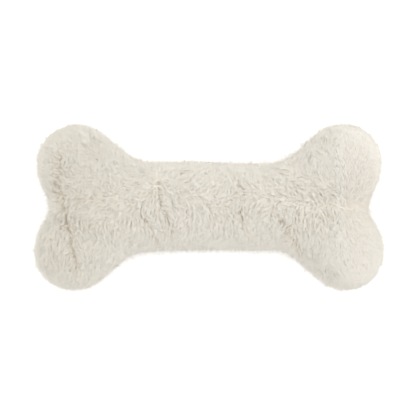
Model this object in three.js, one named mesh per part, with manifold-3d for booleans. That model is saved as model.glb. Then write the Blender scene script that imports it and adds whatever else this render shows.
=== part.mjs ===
// A plush bone for a dog: two bone-shaped panels of deep faux fur are sewn face to face round their
// edge, turned, filled with fibre and closed by hand. A bellows squeaker lies in the filling of the
// shaft. Lengths are millimetres. X runs along the bone, Y across it and Z up, and the toy lies flat
// on its lower panel with its origin under its middle.
import * as THREE from "three";
import { mergeVertices } from "three/addons/utils/BufferGeometryUtils.js";
import Module from "manifold-3d";

// The stuffed form, measured over the fur.
const halfThickness = 33;
const shaftHalfWidth = 41;
const shaftStraightReach = 56.3;
const shaftTaperReach = 65;
const backKnuckle = { x: 119.9, y: 39.4, radius: 36.4 };
const frontKnuckle = { x: 123.2, y: -40.3, radius: 36 };
const soleCut = 0.5;

// How far the swell of one part of the form runs into the next, as a share of its fullness.
const shaftBlendShare = 2.34;
const notchBlendShare = 1.49;

// The fur panels and the threads that join them.
const panelThickness = 8;
const seamGap = 0.3;
const seamInset = 6.6;
const threadDiameter = 1;
const threadClearance = 0.3;
const closingLength = 62;
const closingStitchPitch = 6;
const closingStitchSway = 0.15;
const closingThreadDiameter = 0.7;

// The fibre filling.
const fillingClearance = 0.3;
const wadHalfWidth = 36;
const wadEndHalfWidth = 21;
const wadShoulderReach = 78;
const fillingOverCrown = 11.2;
const fillingUnderWhistle = 4.4;

// The bellows squeaker.
const squeakerRadius = 19;
const squeakerWall = 1.4;
const pocketClearance = 0.5;
const partGap = 0.3;
const bellowsFoldDepth = 3.6;
const bellowsFolds = 3;
const baseHeight = 5;
const crownHeight = 4.2;
const crownRimHeight = 2;
const neckRadius = 6.6;
const neckLength = 6.5;

// The whistle in the squeaker's neck.
const whistleRadius = 4.6;
const whistleBore = 3.4;
const whistleLength = 12;
const whistleFlangeRadius = 6.4;
const whistleFlangeHeight = 1.2;
const holderLength = 9;
const holderChannelWidth = 1.8;
const holderChannelDepth = 1.6;
const reedLength = 7.6;
const reedWidth = 3;
const reedThickness = 0.3;
const reedRise = 0.3;
const wedgeLength = 2.6;

// Faceting.
const panelRings = 40;
const panelSectors = 10;
const threadSides = 6;
const turnedSides = 28;
const smallTurnedSides = 16;
const straightStationShare = 0.45;
const anchorReachShare = 0.86;
const sideSpreadShare = 1.7;
const bisections = 40;
const probeStep = 0.01;
const mergeDistance = 0.001;
const cutOverrun = 5;

const wasm = await Module();
wasm.setup();

const midHeight = halfThickness + seamGap / 2 - soleCut;
const outerReach = Math.max(frontKnuckle.x + frontKnuckle.radius, backKnuckle.x + backKnuckle.radius);
const outerSide = Math.max(
  Math.abs(frontKnuckle.y) + frontKnuckle.radius,
  Math.abs(backKnuckle.y) + backKnuckle.radius,
);

// Heights in the squeaker, counted from the toy's mid-plane. The bellows fills what the filling over
// and under the squeaker leaves free.
const cavityHalfHeight = halfThickness - panelThickness - fillingClearance;
const whistleEnd = fillingUnderWhistle - cavityHalfHeight;
const neckEnd = whistleEnd + whistleFlangeHeight + partGap;
const baseFloor = neckEnd + neckLength;
const baseRim = baseFloor + baseHeight;
const bellowsFoot = baseRim + partGap;
const crownTop = cavityHalfHeight - fillingOverCrown;
const crownRim = crownTop - crownHeight;
const bellowsHeight = crownRim - partGap - bellowsFoot;

// Smooth maximum of two fullness values: it rounds the corner where the two forms meet.
function smoothMax(a, b, share) {
  const overlap = Math.max(share - Math.abs(a - b), 0) / share;
  return Math.max(a, b) + (overlap * overlap * share) / 4;
}

// Fullness of the stuffed form over a point of its plan: 1 on the shaft's middle line, 0 on the edge.
function fullness(x, y) {
  const pastShaft = Math.max(Math.abs(x) - shaftStraightReach, 0) / shaftTaperReach;
  const shaft = 1 - (y / shaftHalfWidth) ** 2 - pastShaft ** 2;
  const knuckle = (k) => 1 - ((Math.abs(x) - k.x) ** 2 + (y - k.y) ** 2) / k.radius ** 2;
  const knuckles = smoothMax(knuckle(backKnuckle), knuckle(frontKnuckle), notchBlendShare);
  return smoothMax(knuckles, shaft, shaftBlendShare);
}

// Positive inside the stuffed form, whose sections swell as ellipses; z counts from its mid-plane.
function insideness(x, y, z) {
  return fullness(x, y) - (z / halfThickness) ** 2;
}

function outwardNormal(p) {
  const slope = (dx, dy, dz) =>
    insideness(p.x - dx, p.y - dy, p.z - dz) - insideness(p.x + dx, p.y + dy, p.z + dz);
  return new THREE.Vector3(
    slope(probeStep, 0, 0),
    slope(0, probeStep, 0),
    slope(0, 0, probeStep),
  ).normalize();
}

// Point of the form's surface at a station along it, from -1 at one notch to 1 at the other, and at
// an angle round it. Rays leave the middle line square to it, and fan out past the last anchor.
function surfacePoint(station, angle) {
  const lastAnchor = anchorReachShare * Math.min(backKnuckle.x, frontKnuckle.x);
  const beyond = Math.max(Math.abs(station) - straightStationShare, 0) / (1 - straightStationShare);
  const tilt = (Math.PI / 2) * beyond * Math.sign(station);
  const along = THREE.MathUtils.clamp(station / straightStationShare, -1, 1);
  const side = Math.cos(angle) * sideSpreadShare;
  const lift = Math.sin(angle);
  const flat = Math.cos(tilt) / Math.hypot(side, lift);
  const ray = new THREE.Vector3(Math.sin(tilt), side * flat, lift * flat);
  const anchor = new THREE.Vector3(along * lastAnchor, 0, 0);
  let near = 0;
  let far = outerReach + outerSide;
  for (let i = 0; i < bisections; i += 1) {
    const middle = (near + far) / 2;
    const p = anchor.clone().addScaledVector(ray, middle);
    if (insideness(p.x, p.y, p.z) > 0) near = middle;
    else far = middle;
  }
  return anchor.addScaledVector(ray, near);
}

function inset(p, depth) {
  return p.clone().addScaledVector(outwardNormal(p), -depth);
}

// Closed mesh from triangles of points.
function meshGeometry(triangles) {
  const positions = new Float32Array(triangles.flat().flatMap((p) => [p.x, p.y, p.z]));
  const geometry = new THREE.BufferGeometry();
  geometry.setAttribute("position", new THREE.BufferAttribute(positions, 3));
  return mergeVertices(geometry, mergeDistance);
}

function addQuad(triangles, a, b, c, d) {
  triangles.push([a, b, c], [a, c, d]);
}

// The triangles left where a row of the grid meets in one point.
function withArea(triangles) {
  return triangles.filter(([a, b, c]) => {
    const doubleArea = b.clone().sub(a).cross(c.clone().sub(a)).length();
    return doubleArea > mergeDistance * mergeDistance;
  });
}

function cellCorners(grid, ring, sector) {
  return [
    grid[ring][sector],
    grid[ring][sector + 1],
    grid[ring + 1][sector + 1],
    grid[ring + 1][sector],
  ];
}

// The same cell facing the other way, with its diagonal kept.
function turnedOver([a, b, c, d]) {
  return [a, d, c, b];
}

function toManifold(geometry) {
  const bare = geometry.clone();
  bare.deleteAttribute("normal");
  bare.deleteAttribute("uv");
  const merged = mergeVertices(bare, mergeDistance);
  const vertProperties = new Float32Array(merged.attributes.position.array);
  const triVerts = new Uint32Array(merged.index.array);
  return new wasm.Manifold(new wasm.Mesh({ numProp: 3, vertProperties, triVerts }));
}

function toGeometry(manifold) {
  const { vertProperties, triVerts } = manifold.getMesh();
  const geometry = new THREE.BufferGeometry();
  geometry.setAttribute("position", new THREE.BufferAttribute(vertProperties, 3));
  geometry.setIndex(new THREE.BufferAttribute(triVerts, 1));
  return geometry;
}

// Box between two heights, wide enough to hold the whole toy.
function slab(low, high) {
  const box = new THREE.BoxGeometry(2 * outerReach + cutOverrun, 2 * outerSide + cutOverrun, high - low);
  return toManifold(box.translate(0, 0, (low + high) / 2));
}

// Solid of revolution about Z from a list of [radius, height] points.
function turned(profile, sides = turnedSides) {
  const points = profile.map(([radius, height]) => new THREE.Vector2(radius, height));
  if (THREE.ShapeUtils.area(points) < 0) points.reverse();
  return new THREE.LatheGeometry(points, sides).rotateX(Math.PI / 2);
}

function finish(color, roughness) {
  return new THREE.MeshStandardMaterial({ color, roughness, metalness: 0 });
}

const furFinish = () => finish(0xdcd7cb, 0.95);
const fillingFinish = () => finish(0xf3f2ee, 0.9);
const threadFinish = () => finish(0xe4ddcb, 0.7);
const bellowsFinish = () => finish(0xe9ebe8, 0.4);
const whistleFinish = () => finish(0xf2efe6, 0.35);
const reedFinish = () => finish(0xd9b45c, 0.3);

function named(name, geometry, material) {
  const mesh = new THREE.Mesh(geometry, material);
  mesh.name = name;
  return mesh;
}

// Points of the form's grid for one half: rings run from notch to notch, sectors over the top.
function halfGrid(rings, sectors) {
  const grid = [];
  for (let ring = 0; ring <= rings; ring += 1) {
    const station = (2 * ring) / rings - 1;
    const row = [];
    for (let sector = 0; sector <= sectors; sector += 1) {
      const p = surfacePoint(station, (Math.PI * sector) / sectors);
      if (sector === 0 || sector === sectors) p.z = 0;
      row.push(p);
    }
    grid.push(row);
  }
  return grid;
}

// The edge of the half grid as one loop round the bone: the back edge, then the front edge.
function edgeLoop(grid) {
  const rings = grid.length - 1;
  const back = grid.map((row) => row[0]);
  const front = grid.map((row) => row[row.length - 1]);
  return [...back, ...front.slice(1, rings).reverse()];
}

const panelGrid = halfGrid(panelRings, panelSectors);
const panelEdge = edgeLoop(panelGrid);

// A fur panel is a shell, with a channel along its edge face that holds its half of the seam thread.
function furPanel() {
  const triangles = [];
  const inner = panelGrid.map((row) => row.map((p) => inset(p, panelThickness)));
  for (let ring = 0; ring < panelRings; ring += 1) {
    for (let sector = 0; sector < panelSectors; sector += 1) {
      addQuad(triangles, ...cellCorners(panelGrid, ring, sector));
      addQuad(triangles, ...turnedOver(cellCorners(inner, ring, sector)));
    }
  }
  const channelHalfWidth = threadDiameter / 2 + threadClearance;
  const channelDepth = channelHalfWidth - seamGap / 2;
  const across = [
    [0, 0],
    [seamInset - channelHalfWidth, 0],
    [seamInset - channelHalfWidth, channelDepth],
    [seamInset + channelHalfWidth, channelDepth],
    [seamInset + channelHalfWidth, 0],
    [panelThickness, 0],
  ];
  const face = panelEdge.map((p) =>
    across.map(([depth, rise]) => inset(p, depth).setZ(rise)),
  );
  face.forEach((here, i) => {
    const next = face[(i + 1) % face.length];
    for (let c = 0; c < across.length - 1; c += 1) {
      addQuad(triangles, here[c], next[c], next[c + 1], here[c + 1]);
    }
  });
  return meshGeometry(withArea(triangles)).translate(0, 0, seamGap / 2);
}

function upperFurPanel() {
  return named("fur_panel_upper", furPanel(), furFinish());
}

// The lower panel is the upper one turned over, and lies flat on its belly where the toy rests.
function lowerFurPanel() {
  const mirrored = toManifold(furPanel()).mirror([0, 0, 1]);
  const aboveSole = slab(-midHeight, midHeight);
  return named("fur_panel_lower", toGeometry(mirrored.intersect(aboveSole)), furFinish());
}

// Path through listed points with one even step from each to the next.
class PointPath extends THREE.Curve {
  constructor(points) {
    super();
    this.points = points;
  }

  getPoint(t) {
    const place = t * (this.points.length - 1);
    const i = Math.min(Math.floor(place), this.points.length - 2);
    return this.points[i].clone().lerp(this.points[i + 1], place - i);
  }

  getPointAt(t) {
    return this.getPoint(t);
  }

  getTangentAt(t) {
    return this.getTangent(t);
  }
}

function threadAlong(points, diameter) {
  const section = new THREE.Shape();
  for (let side = 0; side < threadSides; side += 1) {
    const angle = (2 * Math.PI * side) / threadSides;
    const corner = [(Math.cos(angle) * diameter) / 2, (Math.sin(angle) * diameter) / 2];
    if (side === 0) section.moveTo(...corner);
    else section.lineTo(...corner);
  }
  return new THREE.ExtrudeGeometry(section, {
    steps: points.length - 1,
    extrudePath: new PointPath(points),
    bevelEnabled: false,
  });
}

// The machine-sewn thread runs round the bone from one end of the closing to the other.
function seamThread() {
  const isClosing = (p) => p.y < 0 && Math.abs(p.x) < closingLength / 2 + threadDiameter;
  const first = panelEdge.findIndex(isClosing);
  const turnedLoop = [...panelEdge.slice(first), ...panelEdge.slice(0, first)];
  const sewn = turnedLoop.filter((p) => !isClosing(p)).map((p) => inset(p, seamInset));
  const nearEnd = closingPoint(closingLength / 2 + threadDiameter);
  const farEnd = closingPoint(-closingLength / 2 - threadDiameter);
  const ends = sewn[0].x > 0 ? [nearEnd, farEnd] : [farEnd, nearEnd];
  const points = [ends[0], ...sewn, ends[1]];
  return named("seam_thread", threadAlong(points, threadDiameter), threadFinish());
}

// Point of the seam line on the front edge of the shaft, on the straight between two edge points.
function closingPoint(x) {
  const front = panelGrid.map((row) => inset(row[row.length - 1], seamInset));
  const i = front.findIndex((p) => p.x > x) - 1;
  const share = (x - front[i].x) / (front[i + 1].x - front[i].x);
  return front[i].clone().lerp(front[i + 1], share);
}

// The hand-sewn ladder stitch that shuts the opening the filling went in by.
function closingThread() {
  const stitches = Math.round(closingLength / closingStitchPitch);
  const points = [];
  for (let i = 0; i <= stitches; i += 1) {
    const p = closingPoint(closingLength * (i / stitches) - closingLength / 2);
    p.y += i % 2 ? closingStitchSway : -closingStitchSway;
    points.push(p);
  }
  return named("closing_thread", threadAlong(points, closingThreadDiameter), threadFinish());
}

// All the fibre together: the space inside the two panels, facet by facet.
function wholeFilling() {
  const depth = panelThickness + fillingClearance;
  const upper = panelGrid.map((row) => row.map((p) => inset(p, depth)));
  const lower = upper.map((row) => row.map((p) => p.clone().setZ(-p.z)));
  const triangles = [];
  for (let ring = 0; ring < panelRings; ring += 1) {
    for (let sector = 0; sector < panelSectors; sector += 1) {
      addQuad(triangles, ...cellCorners(upper, ring, sector));
      addQuad(triangles, ...turnedOver(cellCorners(lower, ring, sector)));
    }
  }
  return toManifold(meshGeometry(withArea(triangles)));
}

// Barrel round the middle line that divides the shaft's wad from the knuckles' wads.
function wadBarrel(growth) {
  const profile = [
    [0, -outerReach],
    [wadEndHalfWidth + growth, -outerReach],
    [wadEndHalfWidth + growth, -backKnuckle.x],
    [wadHalfWidth + growth, -wadShoulderReach],
    [wadHalfWidth + growth, wadShoulderReach],
    [wadEndHalfWidth + growth, backKnuckle.x],
    [wadEndHalfWidth + growth, outerReach],
    [0, outerReach],
  ];
  const tall = (2 * halfThickness) / wadEndHalfWidth;
  return toManifold(turned(profile).rotateY(Math.PI / 2).scale(1, 1, tall));
}

const filling = wholeFilling();

// Fibre of the shaft, in two wads with the squeaker's pocket between them.
function shaftWads() {
  const pocketRadius = squeakerRadius + pocketClearance;
  const neckPocketRadius = neckRadius + pocketClearance;
  const pocket = toManifold(
    turned([
      [0, whistleEnd - pocketClearance],
      [neckPocketRadius, whistleEnd - pocketClearance],
      [neckPocketRadius, baseFloor - pocketClearance],
      [pocketRadius, baseFloor - pocketClearance],
      [pocketRadius, crownTop + pocketClearance],
      [0, crownTop + pocketClearance],
    ]),
  );
  const shaft = filling.intersect(wadBarrel(0)).subtract(pocket);
  const upper = shaft.intersect(slab(seamGap / 2, halfThickness));
  const lower = shaft.intersect(slab(-halfThickness, -seamGap / 2));
  return [
    named("filling_shaft_upper", toGeometry(upper), fillingFinish()),
    named("filling_shaft_lower", toGeometry(lower), fillingFinish()),
  ];
}

// One round wad in each knuckle, pressed against the side of the shaft's wads.
function knuckleWads() {
  const beside = filling.subtract(wadBarrel(fillingClearance));
  const wads = [];
  for (const [end, alongSign] of [["left", -1], ["right", 1]]) {
    for (const [edge, acrossSign] of [["back", 1], ["front", -1]]) {
      const corner = new THREE.BoxGeometry(outerReach, outerSide, 2 * halfThickness);
      corner.translate((alongSign * outerReach) / 2, (acrossSign * outerSide) / 2, 0);
      const wad = beside.intersect(toManifold(corner));
      wads.push(named(`filling_knuckle_${edge}_${end}`, toGeometry(wad), fillingFinish()));
    }
  }
  return wads;
}

// Moulded bottom of the squeaker: a shallow cup with a neck that holds the whistle.
function squeakerBase() {
  const neckBore = whistleRadius + partGap;
  const profile = [
    [neckBore, neckEnd],
    [neckRadius, neckEnd],
    [neckRadius, baseFloor],
    [squeakerRadius - squeakerWall, baseFloor],
    [squeakerRadius, baseFloor + squeakerWall],
    [squeakerRadius, baseRim],
    [squeakerRadius - squeakerWall, baseRim],
    [squeakerRadius - squeakerWall, baseFloor + squeakerWall],
    [neckBore, baseFloor + squeakerWall],
    [neckBore, neckEnd],
  ];
  return named("squeaker_base", turned(profile), bellowsFinish());
}

// Folded wall of the squeaker, which closes up as the crown is pressed.
function squeakerBellows() {
  const bends = 2 * bellowsFolds;
  const outside = [];
  const inside = [];
  for (let bend = 0; bend <= bends; bend += 1) {
    const height = bellowsFoot + (bellowsHeight * bend) / bends;
    const radius = bend % 2 ? squeakerRadius - bellowsFoldDepth : squeakerRadius;
    outside.push([radius, height]);
    inside.push([radius - squeakerWall, height]);
  }
  const profile = [...outside, ...inside.reverse(), outside[0]];
  return named("squeaker_bellows", turned(profile), bellowsFinish());
}

// Domed top of the squeaker, the piece that a bite pushes down.
function squeakerCrown() {
  const domeShares = [1, 0.8, 0.5, 0];
  const rise = crownHeight - crownRimHeight;
  const dome = (radius, rimTop) =>
    domeShares.map((share) => [radius * share, rimTop + rise * Math.sqrt(1 - share * share)]);
  const rimTop = crownRim + crownRimHeight;
  const over = dome(squeakerRadius, rimTop);
  const under = dome(squeakerRadius - squeakerWall, rimTop - squeakerWall);
  const profile = [
    [squeakerRadius, crownRim],
    ...over,
    ...under.reverse(),
    [squeakerRadius - squeakerWall, crownRim],
    [squeakerRadius, crownRim],
  ];
  return named("squeaker_crown", turned(profile), bellowsFinish());
}

// Barrel of the whistle, pressed into the neck up to its flange. Heights in the whistle count from
// the lower end of the neck.
function whistleBarrel() {
  const profile = [
    [whistleBore, -partGap - whistleFlangeHeight],
    [whistleFlangeRadius, -partGap - whistleFlangeHeight],
    [whistleFlangeRadius, -partGap],
    [whistleRadius, -partGap],
    [whistleRadius, whistleLength],
    [whistleBore, whistleLength],
    [whistleBore, -partGap - whistleFlangeHeight],
  ];
  const barrel = turned(profile, smallTurnedSides).translate(0, 0, neckEnd);
  return named("whistle_barrel", barrel, whistleFinish());
}

// Half-round plug between two heights on one side of the flat that carries the reed.
function halfPlug(low, high, faceAt, sideSign) {
  const radius = whistleBore - partGap;
  const plug = turned([[0, low], [radius, low], [radius, high], [0, high]], smallTurnedSides);
  const cutter = new THREE.BoxGeometry(2 * whistleRadius, whistleRadius, high - low + cutOverrun);
  cutter.translate(0, faceAt + (sideSign * whistleRadius) / 2, (low + high) / 2);
  return toManifold(plug).intersect(toManifold(cutter));
}

const reedTop = whistleLength - partGap;

// The holder's flat face has a channel that the reed beats over.
function reedHolder() {
  const low = reedTop - holderLength;
  const channelLength = holderLength - wedgeLength;
  const channel = new THREE.BoxGeometry(
    holderChannelWidth,
    2 * holderChannelDepth,
    channelLength + cutOverrun,
  );
  channel.translate(0, 0, low + channelLength - (channelLength + cutOverrun) / 2);
  const holder = halfPlug(low, reedTop, 0, -1).subtract(toManifold(channel));
  return named("reed_holder", toGeometry(holder).translate(0, 0, neckEnd), whistleFinish());
}

// The wedge clamps the root of the reed against the holder.
function reedWedge() {
  const faceAt = 2 * reedRise + reedThickness;
  const wedge = halfPlug(reedTop - wedgeLength, reedTop, faceAt, 1);
  return named("reed_wedge", toGeometry(wedge).translate(0, 0, neckEnd), whistleFinish());
}

// Thin tongue whose lower, free end trembles in the air that leaves the bellows.
function reed() {
  const tongue = new THREE.BoxGeometry(reedWidth, reedThickness, reedLength);
  tongue.translate(0, reedRise + reedThickness / 2, neckEnd + reedTop - reedLength / 2);
  return named("reed", tongue, reedFinish());
}

const toy = new THREE.Group();
const squeaker = new THREE.Group();
squeaker.add(squeakerBase(), squeakerBellows(), squeakerCrown());
squeaker.add(whistleBarrel(), reedHolder(), reedWedge(), reed());
toy.add(lowerFurPanel(), upperFurPanel(), seamThread(), closingThread());
toy.add(...shaftWads(), ...knuckleWads(), squeaker);
toy.position.z = midHeight;

export default toy;
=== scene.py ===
import math

import bmesh
import bpy
import numpy as np
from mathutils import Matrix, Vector, kdtree


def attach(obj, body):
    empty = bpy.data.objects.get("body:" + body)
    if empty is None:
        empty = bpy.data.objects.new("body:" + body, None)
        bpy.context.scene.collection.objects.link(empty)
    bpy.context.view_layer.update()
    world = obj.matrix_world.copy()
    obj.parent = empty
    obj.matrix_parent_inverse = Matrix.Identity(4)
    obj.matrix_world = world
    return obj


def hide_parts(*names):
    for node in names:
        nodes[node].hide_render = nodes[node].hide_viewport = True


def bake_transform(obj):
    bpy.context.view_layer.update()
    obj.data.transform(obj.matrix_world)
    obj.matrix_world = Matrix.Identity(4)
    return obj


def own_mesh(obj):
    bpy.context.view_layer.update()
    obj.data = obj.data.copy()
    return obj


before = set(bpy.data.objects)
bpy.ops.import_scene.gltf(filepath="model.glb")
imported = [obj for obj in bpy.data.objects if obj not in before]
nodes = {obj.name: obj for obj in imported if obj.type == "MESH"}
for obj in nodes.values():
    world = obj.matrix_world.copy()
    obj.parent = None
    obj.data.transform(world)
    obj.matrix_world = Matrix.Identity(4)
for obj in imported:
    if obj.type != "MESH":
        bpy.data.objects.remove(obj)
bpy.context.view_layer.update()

MM = 0.001

# Squeaker base and crown
# Two cups of blown low-density polyethylene that close the bellows below and above. The neck of the
# base holds the whistle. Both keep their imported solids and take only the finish.


def linear(code):
    """The linear red, green, blue and alpha of an sRGB hex colour."""
    shares = [int(code[i : i + 2], 16) / 255 for i in (0, 2, 4)]
    return [s / 12.92 if s <= 0.04045 else ((s + 0.055) / 1.055) ** 2.4 for s in shares] + [1]


def new_material(name):
    """A material with an empty node tree."""
    material = bpy.data.materials.new(name)
    material.use_nodes = True
    material.node_tree.nodes.clear()
    return material


def add_node(material, kind, links=None, values=None, stops=(), **settings):
    """Adds one node with its settings, socket values, colour stops and incoming links. Where a link
    names a node, it comes from that node's first output."""
    made = material.node_tree.nodes.new("ShaderNode" + kind)
    for name, value in settings.items():
        setattr(made, name, value)
    for socket, value in (values or {}).items():
        made.inputs[socket].default_value = value
    for socket, source in (links or {}).items():
        output = source.outputs[0] if isinstance(source, bpy.types.Node) else source
        material.node_tree.links.new(output, made.inputs[socket])
    for i, (position, code) in enumerate(stops):
        elements = made.color_ramp.elements
        stop = elements[i] if i < 2 else elements.new(position)
        stop.position, stop.color = position, linear(code)
    return made


def coat(material, *names):
    """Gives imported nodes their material."""
    for name in names:
        nodes[name].material_slots[0].material = material


# Blown polyethylene is waxy and milky: thin and thick places of the wall show as faint clouds, and
# the chilled skin has a fine orange peel that blurs its highlights.
polyethylene = new_material("blown_polyethylene")
place = add_node(polyethylene, "TexCoord").outputs["Object"]
clouds = add_node(
    polyethylene, "TexNoise", {"Vector": place}, {"Scale": 1 / (7 * MM), "Detail": 3.0}
)
peel = add_node(
    polyethylene, "TexNoise", {"Vector": place}, {"Scale": 1 / (0.5 * MM), "Detail": 2.0}
)
milk = add_node(polyethylene, "ValToRGB", {"Fac": clouds}, stops=[(0.3, "E0E4E1"), (0.7, "EFF1EE")])
satin = add_node(polyethylene, "MapRange", {"Value": peel}, {"To Min": 0.36, "To Max": 0.52})
skin = add_node(polyethylene, "Bump", {"Height": peel}, {"Strength": 0.2, "Distance": 0.03 * MM})
shader = add_node(
    polyethylene,
    "BsdfPrincipled",
    {"Base Color": milk, "Roughness": satin, "Normal": skin},
    {"IOR": 1.51},
)
add_node(polyethylene, "OutputMaterial", {"Surface": shader})
coat(polyethylene, "squeaker_base", "squeaker_crown")

# Squeaker bellows
# The folded wall between the two cups, blown in one piece with them and 1.4 mm thick. A bite
# presses its folds together, so it flattens towards the rim of the base as the crown comes down.

NODE_WELD_GAP = 0.001 * MM


def placed(name, data):
    """A new object in the scene."""
    made = bpy.data.objects.new(name, data)
    bpy.context.scene.collection.objects.link(made)
    return made


def welded(name, source):
    """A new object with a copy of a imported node's mesh, its doubled points joined."""
    mesh = source.data.copy()
    mesh.name = name
    mesh.materials.clear()
    work = bmesh.new()
    work.from_mesh(mesh)
    bmesh.ops.remove_doubles(work, verts=work.verts, dist=NODE_WELD_GAP)
    work.to_mesh(mesh)
    work.free()
    return placed(name, mesh)


def settled(piece):
    """Applies a piece's modifiers to its mesh."""
    shown = piece.evaluated_get(bpy.context.evaluated_depsgraph_get())
    shape = bpy.data.meshes.new_from_object(shown)
    shape.name = piece.name
    piece.modifiers.clear()
    piece.data = shape


FOLD_ROUNDING = 0.35 * MM
FOLD_ROUNDING_STEPS = 3
FOLD_LEAST_ANGLE = 30
bellows = welded("bellows_wall", nodes["squeaker_bellows"])
rounding = bellows.modifiers.new("rounding", "BEVEL")
rounding.width = FOLD_ROUNDING
rounding.segments = FOLD_ROUNDING_STEPS
rounding.limit_method = "ANGLE"
rounding.angle_limit = math.radians(FOLD_LEAST_ANGLE)
settled(bellows)
bellows.data.polygons.foreach_set("use_smooth", np.ones(len(bellows.data.polygons), bool))
bellows.data.materials.append(polyethylene)
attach(bellows, "toy")
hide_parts("squeaker_bellows")
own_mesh(bellows)

# Whistle barrel, reed holder and reed wedge
# Three injection-moulded polystyrene parts that press into each other and into the neck of the
# base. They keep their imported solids.

# Moulded polystyrene is ivory, smooth and satin, with faint flow streaks 1.6 mm wide from the gate.
polystyrene = new_material("moulded_polystyrene")
place = add_node(polystyrene, "TexCoord").outputs["Object"]
squeezed = add_node(polystyrene, "Mapping", {"Vector": place}, {"Scale": (1, 1, 0.25)})
streaks = add_node(
    polystyrene,
    "TexNoise",
    {"Vector": squeezed},
    {"Scale": 1 / (1.6 * MM), "Detail": 3.0, "Distortion": 0.6},
)
ivory = add_node(
    polystyrene, "ValToRGB", {"Fac": streaks}, stops=[(0.35, "EAE5D8"), (0.65, "F4F0E6")]
)
polish = add_node(polystyrene, "MapRange", {"Value": streaks}, {"To Min": 0.26, "To Max": 0.36})
shader = add_node(
    polystyrene, "BsdfPrincipled", {"Base Color": ivory, "Roughness": polish}, {"IOR": 1.59}
)
add_node(polystyrene, "OutputMaterial", {"Surface": shader})
coat(polystyrene, "whistle_barrel", "reed_holder", "reed_wedge")

# Reed
# A tongue of rolled brass shim 0.3 mm thick, clamped at one end between holder and wedge. It beats
# on the flat of the holder and makes the sound.

# Rolled brass is bright, with fine rolling lines along the strip, 0.12 mm apart.
brass = new_material("rolled_brass_shim")
place = add_node(brass, "TexCoord").outputs["Object"]
drawn = add_node(brass, "Mapping", {"Vector": place}, {"Scale": (1, 1, 0.06)})
lines = add_node(brass, "TexNoise", {"Vector": drawn}, {"Scale": 1 / (0.12 * MM), "Detail": 2.0})
golden = add_node(brass, "ValToRGB", {"Fac": lines}, stops=[(0.3, "CFA850"), (0.7, "E2C06A")])
rolled = add_node(brass, "MapRange", {"Value": lines}, {"To Min": 0.2, "To Max": 0.36})
shader = add_node(
    brass, "BsdfPrincipled", {"Base Color": golden, "Roughness": rolled}, {"Metallic": 1.0}
)
add_node(brass, "OutputMaterial", {"Surface": shader})
coat(brass, "reed")

# Filling
# Six wads of loose crimped polyester fibre, blown in through the closing opening and packed firm:
# two along the shaft with the squeaker's pocket between them and one in each knuckle.

WAVE_COUNT = 9


def unit(v):
    """Vectors made one long."""
    return v / np.maximum(np.linalg.norm(v, axis=-1, keepdims=True), 1e-9)


def waves(p, pitch, seed):
    """Smooth unevenness of about -1 to 1 at that pitch: waves in directions drawn from the seed."""
    draw = np.random.default_rng(seed)
    total = 0
    for _ in range(WAVE_COUNT):
        direction = unit(draw.normal(size=3))
        length = pitch * draw.uniform(0.7, 1.5)
        start = draw.uniform(0, 2 * math.pi)
        total = total + np.sin(p @ direction * (2 * math.pi / length) + start)
    return total / math.sqrt(WAVE_COUNT)


def tapered(rings, across, up, half_width, thickness):
    """Points, quads and triangles of closed three-sided fibres along rings, the last one a tip."""
    count, length = rings.shape[0], rings.shape[1] - 1
    points = np.empty((count, 3 * length + 1, 3))
    for ring in range(length):
        width, height = half_width[:, ring, None], thickness[:, ring, None]
        points[:, 3 * ring] = rings[:, ring] - across[:, ring] * width
        points[:, 3 * ring + 1] = rings[:, ring] + across[:, ring] * width
        points[:, 3 * ring + 2] = rings[:, ring] + up[:, ring] * height
    points[:, -1] = rings[:, -1]
    quads = [
        [3 * r + c, 3 * r + (c + 1) % 3, 3 * r + 3 + (c + 1) % 3, 3 * r + 3 + c]
        for r in range(length - 1)
        for c in range(3)
    ]
    last = 3 * (length - 1)
    triangles = [[last + c, last + (c + 1) % 3, 3 * length] for c in range(3)] + [[2, 1, 0]]
    first = (3 * length + 1) * np.arange(count)[:, None, None]
    quads, triangles = np.array(quads) + first, np.array(triangles) + first
    return points.reshape(-1, 3), quads.reshape(-1, 4), triangles.reshape(-1, 3)


def solid(name, points, faces, material, smooth=False, uv=None):
    """A mesh object from points, arrays of three- or four-cornered faces and a map by point."""
    corners = np.concatenate([f.ravel() for f in faces])
    sizes = np.concatenate([np.full(len(f), f.shape[1]) for f in faces])
    mesh = bpy.data.meshes.new(name)
    mesh.vertices.add(len(points))
    mesh.vertices.foreach_set("co", points.astype(np.float32).ravel())
    mesh.loops.add(len(corners))
    mesh.loops.foreach_set("vertex_index", corners.astype(np.int32))
    mesh.polygons.add(len(sizes))
    mesh.polygons.foreach_set("loop_start", (np.cumsum(sizes) - sizes).astype(np.int32))
    mesh.polygons.foreach_set("use_smooth", np.full(len(sizes), smooth))
    mesh.update(calc_edges=True)
    if uv is not None:
        map_of_corners = uv[corners].astype(np.float32).ravel()
        mesh.uv_layers.new(name="OFBake").data.foreach_set("uv", map_of_corners)
    mesh.materials.append(material)
    return placed(name, mesh)


# Polyester fibre is white and dull. In the mass it shows as a tangle of fine crimped lines with
# painted shade, a soft grey, between them, drawn 0.3 mm wide, ten times too coarse, so that they
# can be seen.
fibre = new_material("crimped_polyester_fibre")
place = add_node(fibre, "TexCoord").outputs["Object"]
tangle = add_node(
    fibre, "TexNoise", {"Vector": place},
    {"Scale": 1 / (1.2 * MM), "Detail": 4.0, "Distortion": 1.5},
)
# Painted shade: the colour is grey where the tangle is low, between the fibres.
white = add_node(fibre, "ValToRGB", {"Fac": tangle}, stops=[(0.35, "DFDDD6"), (0.6, "F5F4EF")])
tangle_bump = add_node(fibre, "Bump", {"Height": tangle}, {"Strength": 0.5, "Distance": 0.3 * MM})
shader = add_node(
    fibre,
    "BsdfPrincipled",
    {"Base Color": white, "Normal": tangle_bump},
    {"Roughness": 0.85, "Specular IOR Level": 0.2, "Sheen Weight": 0.2},
)
add_node(fibre, "OutputMaterial", {"Surface": shader})

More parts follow.
